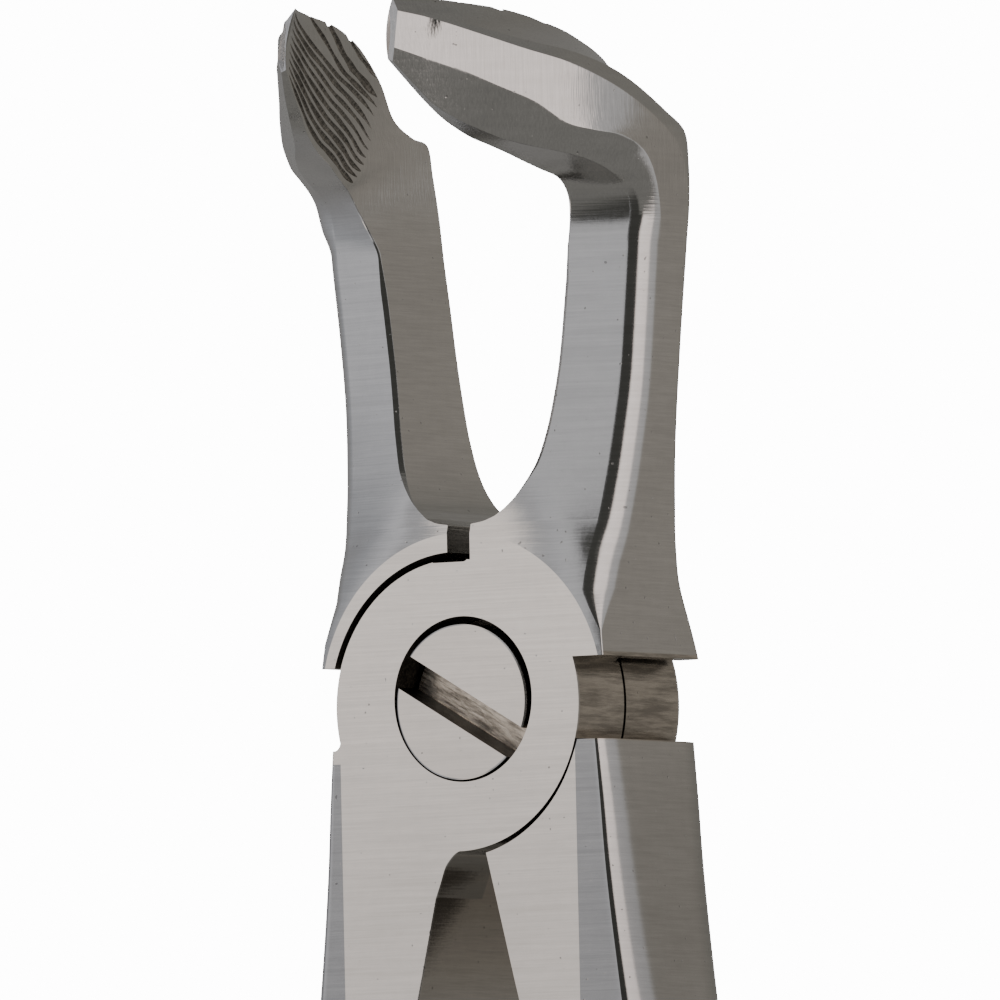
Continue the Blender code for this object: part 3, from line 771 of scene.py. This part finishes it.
def grip_points(side):
    """Staggered points over the outer half of a handle, each with the surface's outward direction."""
    points, outward = [], []
    rows = int((KNURL_TOP - KNURL_END) / (KNURL_PITCH / 2))
    for n in range(rows + 1):
        z = KNURL_TOP - n * KNURL_PITCH / 2
        ring = handle_ring(z)
        above = handle_ring(z + 0.5)
        outer_x = along(HANDLE, z)[1]
        near = [k for k in range(len(ring)) if outer_x - ring[k][0] < GRIP_REACH]
        start = near[0]
        if near[0] == 0:
            gap = [k for k in range(len(ring)) if k not in near]
            start = gap[-1] + 1
        order = [(start + k) % len(ring) for k in range(len(near))]
        path = ring[order]
        run = np.concatenate([[0.0], np.cumsum(np.linalg.norm(np.diff(path, axis=0), axis=1))])
        middle = run[-1] / 2
        reach = int(middle / KNURL_PITCH)
        for c in range(-reach, reach + 1):
            at = middle + (c + 0.5 * (n % 2)) * KNURL_PITCH
            if not GRIP_MARGIN < at < run[-1] - GRIP_MARGIN:
                continue
            i = min(int(np.searchsorted(run, at)), len(run) - 1)
            t = (at - run[i - 1]) / (run[i] - run[i - 1])
            p = path[i - 1] + (path[i] - path[i - 1]) * t
            normal = np.cross(path[i] - path[i - 1], above[order[i]] - ring[order[i]])
            normal /= np.linalg.norm(normal)
            if normal[0] * (p[0] - ring[:, 0].mean()) < 0:
                normal = -normal
            p = p - normal * KNURL_SINK
            if side == "left":
                p = np.array((-p[0], DEPTH - p[1], p[2]))
                normal = np.array((-normal[0], -normal[1], normal[2]))
            points.append(p)
            outward.append(normal)
    return points, outward


def build_knurl(name, side, tree, finish):
    """The cross-cut grip of one handle."""
    points, outward = grip_points(side)
    obj = shaped(name, points, [])
    stored = obj.data.attributes.new("outward", "FLOAT_VECTOR", "POINT")
    stored.data.foreach_set("vector", np.array(outward, float).ravel())
    grown(obj, tree, Width=KNURL_PITCH * 0.5 * MM, Height=KNURL_HEIGHT * MM, Finish=finish)
    return obj


def smoothed(obj):
    """Smooth faces with crisp edges where they turn, and flat faces kept flat."""
    obj.data.shade_smooth()
    obj.data.set_sharp_from_angle(angle=math.radians(CREASE_ANGLE))
    modifier = obj.modifiers.new("face_normals", "WEIGHTED_NORMAL")
    modifier.keep_sharp = True
    modifier.weight = 80
    settled(obj)


# ---------------------------------------------------------------- finishes

def socket(group, name, kind, default=None, way="INPUT"):
    made = group.interface.new_socket(name=name, in_out=way, socket_type="NodeSocket" + kind)
    if default is not None:
        made.default_value = default
    return made


def link(tree, a, b):
    tree.links.new(a, b)


def node(tree, kind, **values):
    made = tree.nodes.new(kind)
    for key, value in values.items():
        setattr(made, key, value)
    return made


def math_node(tree, operation, a, b=None, clamp=False):
    made = tree.nodes.new("ShaderNodeMath")
    made.operation = operation
    made.use_clamp = clamp
    for slot, value in enumerate((a, b)):
        if value is None:
            continue
        if isinstance(value, (int, float)):
            made.inputs[slot].default_value = value
        else:
            tree.links.new(value, made.inputs[slot])
    return made.outputs[0]


def scaled_noise(tree, vector, scale, noise_scale, detail, roughness=0.5):
    """Noise read on a stretched copy of the coordinates."""
    mapping = node(tree, "ShaderNodeMapping")
    mapping.inputs["Scale"].default_value = scale
    link(tree, vector, mapping.inputs["Vector"])
    noise = node(tree, "ShaderNodeTexNoise")
    noise.inputs["Scale"].default_value = noise_scale
    noise.inputs["Detail"].default_value = detail
    noise.inputs["Roughness"].default_value = roughness
    link(tree, mapping.outputs[0], noise.inputs["Vector"])
    return noise.outputs["Fac"]


def ranged(tree, value, a, b, c, d, smooth=True):
    """The value carried from the range a to b onto c to d."""
    made = node(tree, "ShaderNodeMapRange")
    made.interpolation_type = "SMOOTHSTEP" if smooth else "LINEAR"
    for key, number in (("From Min", a), ("From Max", b), ("To Min", c), ("To Max", d)):
        made.inputs[key].default_value = number
    link(tree, value, made.inputs["Value"])
    return made.outputs["Result"]


def blended(tree, mask, a, b):
    """a where the mask is 0 and b where it is 1."""
    made = node(tree, "ShaderNodeMix", data_type="FLOAT")
    link(tree, mask, made.inputs["Factor"])
    for key, value in (("A", a), ("B", b)):
        if isinstance(value, (int, float)):
            made.inputs[key].default_value = value
        else:
            link(tree, value, made.inputs[key])
    return made.outputs["Result"]


def varied(tree, pattern, amount):
    """A pattern's departure from its middle value, times the amount."""
    return math_node(tree, "MULTIPLY", math_node(tree, "SUBTRACT", pattern, 0.5), amount)


def finish_group(name, colour, roughness, others):
    """A finish with the named inputs, which puts out a colour, a roughness and a height."""
    group = bpy.data.node_groups.new(name, "ShaderNodeTree")
    socket(group, "Colour", "Color", (*colour, 1.0))
    socket(group, "Roughness", "Float", roughness)
    for title, value in others.items():
        socket(group, title, "Float", value)
    for title, kind in (("Colour", "Color"), ("Roughness", "Float"), ("Height", "Float")):
        socket(group, title, kind, way="OUTPUT")
    return group, node(group, "NodeGroupInput"), node(group, "NodeGroupOutput")


def painted_shade_group():
    """Painted shade where the joint's parts close over each other: on the discs' rims in the notches, and on
    the walls between the handles.
    """
    group = bpy.data.node_groups.new("joint_painted_shade", "ShaderNodeTree")
    for name in ("Rim", "Between"):
        socket(group, name, "Float", way="OUTPUT")
    gout = node(group, "NodeGroupOutput")
    coord = node(group, "ShaderNodeTexCoord").outputs["Object"]
    to_mm = node(group, "ShaderNodeVectorMath", operation="SCALE")
    to_mm.inputs["Scale"].default_value = 1000.0
    link(group, coord, to_mm.inputs[0])
    split = node(group, "ShaderNodeSeparateXYZ")
    link(group, to_mm.outputs[0], split.inputs[0])
    x, y, z = split.outputs
    dx = math_node(group, "SUBTRACT", x, DISC_CENTRE[0])
    dz = math_node(group, "SUBTRACT", z, DISC_CENTRE[1])
    radius = math_node(group, "SQRT", math_node(group, "ADD", math_node(group, "MULTIPLY", dx, dx),
                                                math_node(group, "MULTIPLY", dz, dz)))
    height = math_node(group, "ABSOLUTE", z)
    wide = math_node(group, "ABSOLUTE", x)
    # Painted shade on the discs' rims in the notches, clear of the ground front and rear faces.
    rim = math_node(group, "MULTIPLY", ranged(group, radius, 7.3, 7.42, 0.0, 1.0),
                    ranged(group, height, 2.2, 2.3, 1.0, 0.0))
    sunk = math_node(group, "MULTIPLY", ranged(group, y, -9.25, -9.1, 0.0, 1.0),
                     ranged(group, y, -0.2, -0.05, 1.0, 0.0))
    rim = math_node(group, "MULTIPLY", rim, sunk)
    link(group, rim, gout.inputs["Rim"])
    # Painted shade between the handles: the walls inside the handles' inner edges, below the joint.
    edge = math_node(group, "SUBTRACT", math_node(group, "MULTIPLY", z, -0.243), 0.45)
    inside = ranged(group, math_node(group, "SUBTRACT", wide, edge), -0.1, 0.05, 1.0, 0.0)
    inside = math_node(group, "MULTIPLY", inside, ranged(group, z, -8.0, -7.2, 1.0, 0.0))
    inside = math_node(group, "MULTIPLY", inside, ranged(group, z, -17.0, -10.0, 0.12, 1.0, smooth=False))
    inside = math_node(group, "MULTIPLY", inside, sunk)
    link(group, inside, gout.inputs["Between"])
    return group


def brushed_group():
    """Belt-ground steel: fine lines across the tool and along the beak's edges, soft patches, small pits,
    with painted shade towards the handles, on the discs' rims in the notches and between the handles.
    """
    group, gin, gout = finish_group("belt_ground_steel", (0.6, 0.6, 0.58), 0.2, {"Line Height": 1.0})
    coord = node(group, "ShaderNodeTexCoord").outputs["Object"]
    split = node(group, "ShaderNodeSeparateXYZ")
    link(group, coord, split.inputs[0])
    beak = ranged(group, split.outputs["Z"], 0.0248, 0.0268, 0.0, 1.0)
    across = scaled_noise(group, coord, (0.022, 0.04, 1.0), 9000.0, 3.0, 0.6)
    upright = scaled_noise(group, coord, (1.0, 1.0, 0.035), 11000.0, 2.0, 0.6)
    lines = blended(group, beak, across, upright)
    broad = scaled_noise(group, coord, (0.05, 0.08, 1.0), 2600.0, 2.0)
    patches = scaled_noise(group, coord, (1.0, 1.0, 1.0), 230.0, 3.0)
    mottle = scaled_noise(group, coord, (1.0, 1.0, 1.0), 1500.0, 3.0, 0.6)
    pits = ranged(group, scaled_noise(group, coord, (1.0, 1.0, 1.0), 4600.0, 0.0), 0.83, 0.87, 0.0, 1.0)
    height = math_node(group, "MULTIPLY", lines, gin.outputs["Line Height"])
    height = math_node(group, "ADD", height, math_node(group, "MULTIPLY", broad, 0.45))
    height = math_node(group, "ADD", height, math_node(group, "MULTIPLY", mottle, 0.3))
    height = math_node(group, "SUBTRACT", height, math_node(group, "MULTIPLY", pits, 0.8))
    link(group, height, gout.inputs["Height"])
    # Painted shade: the rims in the notches are darkened in streaks and the walls between the handles to
    # half, and both are tinted brown.
    shade_masks = node(group, "ShaderNodeGroup")
    shade_masks.node_tree = painted_shade_group()
    rim, between = shade_masks.outputs
    rough = math_node(group, "ADD", gin.outputs["Roughness"], varied(group, patches, 0.1))
    rough = math_node(group, "ADD", rough, varied(group, lines, 0.08))
    rough = math_node(group, "ADD", rough, math_node(group, "MULTIPLY", rim, 0.12))
    link(group, rough, gout.inputs["Roughness"])
    shade = 0.95
    for pattern, amount in ((patches, 0.1), (lines, 0.3), (mottle, 0.1), (broad, 0.16)):
        shade = math_node(group, "ADD", shade, varied(group, pattern, amount))
    shade = math_node(group, "SUBTRACT", shade, math_node(group, "MULTIPLY", pits, 0.4))
    # Painted shade: the steel darkens towards the handles, from full at 6 mm above the pivot to 0.83 at 12
    # mm below.
    shade = math_node(group, "MULTIPLY", shade, ranged(group, split.outputs["Z"], -0.012, 0.006, 0.83, 1.0))
    streak = scaled_noise(group, coord, (0.1, 0.1, 1.0), 2400.0, 4.0, 0.7)
    painted_shade_dim = blended(group, rim, 1.0, ranged(group, streak, 0.35, 0.68, 0.5, 0.98))
    painted_shade_dim = math_node(group, "MULTIPLY", painted_shade_dim, blended(group, between, 1.0, 0.5))
    shade = math_node(group, "MULTIPLY", shade, painted_shade_dim)
    tint = node(group, "ShaderNodeMix", data_type="RGBA", blend_type="MULTIPLY")
    link(group, math_node(group, "MAXIMUM", rim, between), tint.inputs["Factor"])
    link(group, gin.outputs["Colour"], tint.inputs["A"])
    tint.inputs["B"].default_value = (1.0, 0.93, 0.84, 1.0)
    shaded = node(group, "ShaderNodeVectorMath", operation="SCALE")
    link(group, tint.outputs["Result"], shaded.inputs[0])
    link(group, shade, shaded.inputs["Scale"])
    link(group, shaded.outputs[0], gout.inputs["Colour"])
    return group


def rough_group():
    """Steel left from the cutter in a recess: matt, coloured as given, with short torn streaks and blots;
    above a driver slot's floor the walls take the Wall Shade, a painted shade.
    """
    group, gin, gout = finish_group("cutter_marked_steel", (0.3, 0.28, 0.25), 0.4,
                                    {"Turn": 0.0, "Wall Shade": 1.0})
    coord = node(group, "ShaderNodeTexCoord").outputs["Object"]
    spun = node(group, "ShaderNodeVectorRotate", rotation_type="Y_AXIS")
    link(group, coord, spun.inputs["Vector"])
    link(group, gin.outputs["Turn"], spun.inputs["Angle"])
    streaks = scaled_noise(group, spun.outputs[0], (0.16, 1.0, 1.0), 5200.0, 4.0, 0.65)
    blots = scaled_noise(group, coord, (1.0, 1.0, 1.0), 900.0, 4.0, 0.6)
    height = math_node(group, "ADD", streaks, math_node(group, "MULTIPLY", blots, 0.6))
    link(group, height, gout.inputs["Height"])
    rough = math_node(group, "ADD", gin.outputs["Roughness"], math_node(group, "MULTIPLY", blots, 0.2))
    link(group, rough, gout.inputs["Roughness"])
    shade = math_node(group, "MULTIPLY", ranged(group, streaks, 0.3, 0.7, 0.45, 1.3),
                      ranged(group, blots, 0.3, 0.7, 0.7, 1.15))
    split = node(group, "ShaderNodeSeparateXYZ")
    link(group, coord, split.inputs[0])
    # Painted shade: faces nearer the front than the driver slot's floor, its walls, are darkened by the Wall
    # Shade.
    bottom = DRIVE_DEPTH - DEPTH
    floor = ranged(group, split.outputs["Y"], (bottom - 0.15) * MM, (bottom - 0.03) * MM, 0.0, 1.0)
    shade = math_node(group, "MULTIPLY", shade, blended(group, floor, gin.outputs["Wall Shade"], 1.0))
    shaded = node(group, "ShaderNodeVectorMath", operation="SCALE")
    link(group, gin.outputs["Colour"], shaded.inputs[0])
    link(group, shade, shaded.inputs["Scale"])
    link(group, shaded.outputs[0], gout.inputs["Colour"])
    return group


def steel(name, group, colour, roughness, bump, **settings):
    """A bare steel with the group's finish on it."""
    mat = bpy.data.materials.new(name)
    mat.use_nodes = True
    tree = mat.node_tree
    shader = tree.nodes["Principled BSDF"]
    shader.inputs["Metallic"].default_value = 1.0
    finish = node(tree, "ShaderNodeGroup")
    finish.node_tree = group
    finish.inputs["Colour"].default_value = (*colour, 1.0)
    finish.inputs["Roughness"].default_value = roughness
    for key, value in settings.items():
        finish.inputs[key].default_value = value
    link(tree, finish.outputs["Colour"], shader.inputs["Base Color"])
    link(tree, finish.outputs["Roughness"], shader.inputs["Roughness"])
    raised = node(tree, "ShaderNodeBump")
    raised.inputs["Strength"].default_value = bump
    raised.inputs["Distance"].default_value = 0.00001
    link(tree, finish.outputs["Height"], raised.inputs["Height"])
    link(tree, raised.outputs["Normal"], shader.inputs["Normal"])
    return mat


# ---------------------------------------------------------------- stage

def camera():
    """A long lens from the front, a third of a quarter turn to the right and just below level."""
    az, el, roll = (math.radians(turn) for turn in (VIEW_AZIMUTH, VIEW_ELEVATION, VIEW_ROLL))
    right = Vector((math.cos(az), math.sin(az), 0.0))
    up = Vector((-math.sin(az) * math.sin(el), math.cos(az) * math.sin(el), math.cos(el)))
    across = right * math.cos(roll) - up * math.sin(roll)
    above = right * math.sin(roll) + up * math.cos(roll)
    back = across.cross(above)
    aim = Vector((0.0, -0.0093, 0.0001)) + across * VIEW_RIGHT + above * VIEW_UP
    data = bpy.data.cameras.new("long_lens")
    data.sensor_width = SENSOR
    data.lens = LENS
    data.clip_start = 0.01
    data.clip_end = 50.0
    obj = added("long_lens", data)
    distance = VIEW_WIDTH * LENS / SENSOR
    turn = Matrix((across, above, back)).transposed().to_4x4()
    obj.matrix_world = Matrix.Translation(aim + back * distance) @ turn
    bpy.context.scene.camera = obj


# (azimuth from the front towards the right, in degrees, red, green, blue) of the studio round the tool
STUDIO = [(-180, 0.22, 0.21, 0.19), (-130, 0.25, 0.245, 0.24), (-100, 0.33, 0.33, 0.34),
          (-74, 0.44, 0.45, 0.48), (-58, 0.78, 0.78, 0.82), (-54, 0.52, 0.52, 0.54),
          (-47, 0.54, 0.54, 0.56), (-43, 1.28, 1.18, 1.12), (-26, 1.36, 1.25, 1.17),
          (-19, 0.54, 0.54, 0.56), (-14, 0.54, 0.54, 0.56), (-9, 0.66, 0.66, 0.69),
          (-3, 0.68, 0.68, 0.7), (3, 0.6, 0.6, 0.62), (6, 0.065, 0.065, 0.06), (54, 0.065, 0.065, 0.06),
          (59, 1.3, 1.18, 1.12), (64, 1.55, 1.4, 1.34), (99, 1.4, 1.26, 1.21), (105, 0.62, 0.6, 0.6),
          (128, 0.54, 0.53, 0.53), (136, 0.33, 0.31, 0.28), (150, 0.315, 0.292, 0.262),
          (180, 0.22, 0.21, 0.19)]


def studio_light():
    """Soft panels and dark cards round the tool, a dim ceiling and floor, and a white surround."""
    world = bpy.data.worlds.new("studio")
    world.use_nodes = True
    bpy.context.scene.world = world
    tree = world.node_tree
    tree.nodes.clear()
    coord = node(tree, "ShaderNodeTexCoord").outputs["Generated"]
    split = node(tree, "ShaderNodeSeparateXYZ")
    link(tree, coord, split.inputs[0])
    x, y, z = split.outputs
    flipped = math_node(tree, "MULTIPLY", y, -1.0)
    angle = math_node(tree, "ARCTAN2", x, flipped)
    share = ranged(tree, angle, -math.pi, math.pi, 0.0, 1.0, smooth=False)
    ramp = node(tree, "ShaderNodeValToRGB")
    ramp.color_ramp.interpolation = "LINEAR"
    stops = ramp.color_ramp.elements
    while len(stops) > 1:
        stops.remove(stops[-1])
    brightest = 2.5
    for k, (azimuth, red, green, blue) in enumerate(STUDIO):
        place = (azimuth + 180.0) / 360.0
        stop = stops[0] if k == 0 else stops.new(place)
        stop.position = place
        stop.color = (red / brightest, green / brightest, blue / brightest, 1.0)
    link(tree, share, ramp.inputs["Fac"])
    walls = node(tree, "ShaderNodeMix", data_type="RGBA")
    facing = math_node(tree, "MAXIMUM", ranged(tree, z, 0.75, 0.97, 0.0, 1.0),
                       ranged(tree, z, -0.93, -0.55, 1.0, 0.0))
    beside = math_node(tree, "MAXIMUM", ranged(tree, z, 0.5, 0.8, 0.0, 1.0),
                       ranged(tree, z, -0.38, -0.22, 1.0, 0.0))
    right = ranged(tree, angle, math.radians(38), math.radians(46), 0.0, 1.0)
    link(tree, blended(tree, right, facing, beside), walls.inputs["Factor"])
    link(tree, ramp.outputs["Color"], walls.inputs["A"])
    walls.inputs["B"].default_value = (0.088, 0.086, 0.081, 1.0)
    paths = node(tree, "ShaderNodeLightPath")
    seen = node(tree, "ShaderNodeBackground")
    link(tree, walls.outputs["Result"], seen.inputs["Color"])
    seen.inputs["Strength"].default_value = brightest
    white = node(tree, "ShaderNodeBackground")
    white.inputs["Color"].default_value = (1.0, 1.0, 1.0, 1.0)
    white.inputs["Strength"].default_value = 14.0
    mix = node(tree, "ShaderNodeMixShader")
    link(tree, paths.outputs["Is Camera Ray"], mix.inputs["Fac"])
    link(tree, seen.outputs[0], mix.inputs[1])
    link(tree, white.outputs[0], mix.inputs[2])
    out = node(tree, "ShaderNodeOutputWorld")
    link(tree, mix.outputs[0], out.inputs["Surface"])


def pale_floor():
    """A pale sheet under the handles' ends, clear to the light from below."""
    low = cad_box[0][2]
    mesh = bpy.data.meshes.new("pale_floor")
    mesh.from_pydata([(-2, -2, low), (2, -2, low), (2, 2, low), (-2, 2, low)], [], [(0, 1, 2, 3)])
    obj = added("pale_floor", mesh)
    mat = bpy.data.materials.new("pale_floor")
    mat.use_nodes = True
    tree = mat.node_tree
    shader = tree.nodes["Principled BSDF"]
    shader.inputs["Roughness"].default_value = 0.7
    shader.inputs["Emission Color"].default_value = (1.0, 0.99, 0.97, 1.0)
    shader.inputs["Emission Strength"].default_value = 1.3
    coord = node(tree, "ShaderNodeTexCoord").outputs["Object"]
    speckle = scaled_noise(tree, coord, (1.0, 1.0, 1.0), 60.0, 4.0)
    tone = node(tree, "ShaderNodeCombineColor")
    for channel in ("Red", "Green", "Blue"):
        link(tree, ranged(tree, speckle, 0.0, 1.0, 0.76, 0.82), tone.inputs[channel])
    link(tree, tone.outputs["Color"], shader.inputs["Base Color"])
    paths = node(tree, "ShaderNodeLightPath")
    clear = node(tree, "ShaderNodeBsdfTransparent")
    mix = node(tree, "ShaderNodeMixShader")
    link(tree, paths.outputs["Is Camera Ray"], mix.inputs["Fac"])
    link(tree, clear.outputs[0], mix.inputs[1])
    link(tree, shader.outputs[0], mix.inputs[2])
    link(tree, mix.outputs[0], tree.nodes["Material Output"].inputs["Surface"])
    mesh.materials.append(mat)


def declare(obj, body, cad=None):
    """Puts the piece on its body, and in the place of the node it stands for."""
    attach(obj, body)
    if cad:
        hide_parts(cad)


def main():
    camera()
    studio_light()
    pale_floor()
    ground = brushed_group()
    rough = rough_group()
    front_steel = steel("satin_steel_front_look", ground, (0.62, 0.612, 0.6), 0.12, 1.0)
    rear_steel = steel("satin_steel_rear_look", ground, (0.61, 0.602, 0.59), 0.12, 1.0)
    screw_steel = steel("screw_steel_look", ground, (0.6, 0.588, 0.572), 0.16, 0.7)
    # Painted shade: this dark brown cutter-marked steel stands for the shade in the discs' clearances, the
    # slot, the screw's bore and its hole.
    recess = steel("recess_painted_shade_look", rough, (0.16, 0.145, 0.125), 0.35, 1.0)
    # Painted shade: the driver slot's walls are darkened to 0.12 by the Wall Shade, above its lighter floor.
    driver = steel("driver_slot_look", rough, (0.66, 0.6, 0.52), 0.3, 4.0,
                   **{"Turn": math.radians(-DRIVE_TURN), "Wall Shade": 0.12})
    # Painted shade: the dark colour of the ground grooves stands for the shade inside them.
    groove = steel("groove_painted_shade_look", rough, (0.3, 0.28, 0.25), 0.3, 1.0)
    grip = steel("cut_grip_look", rough, (0.62, 0.61, 0.59), 0.22, 0.5)
    front = build_front_half(front_steel, recess)
    rear = build_rear_half(rear_steel, recess)
    screw = build_screw(screw_steel, driver)
    bars = groove_tree()
    cut_grooves(front, "right", bars, groove)
    cut_grooves(rear, "left", bars, groove)
    knurls = knurl_tree()
    front_grip = build_knurl("front_half_grip", "left", knurls, grip)
    rear_grip = build_knurl("rear_half_grip", "right", knurls, grip)
    for obj in (front, rear, screw):
        smoothed(obj)
    declare(front, "front_lever", "front_half")
    declare(rear, "rear_lever", "rear_half")
    declare(screw, "rear_lever", "pivot_screw")
    declare(front_grip, "front_lever")
    declare(rear_grip, "rear_lever")


main()
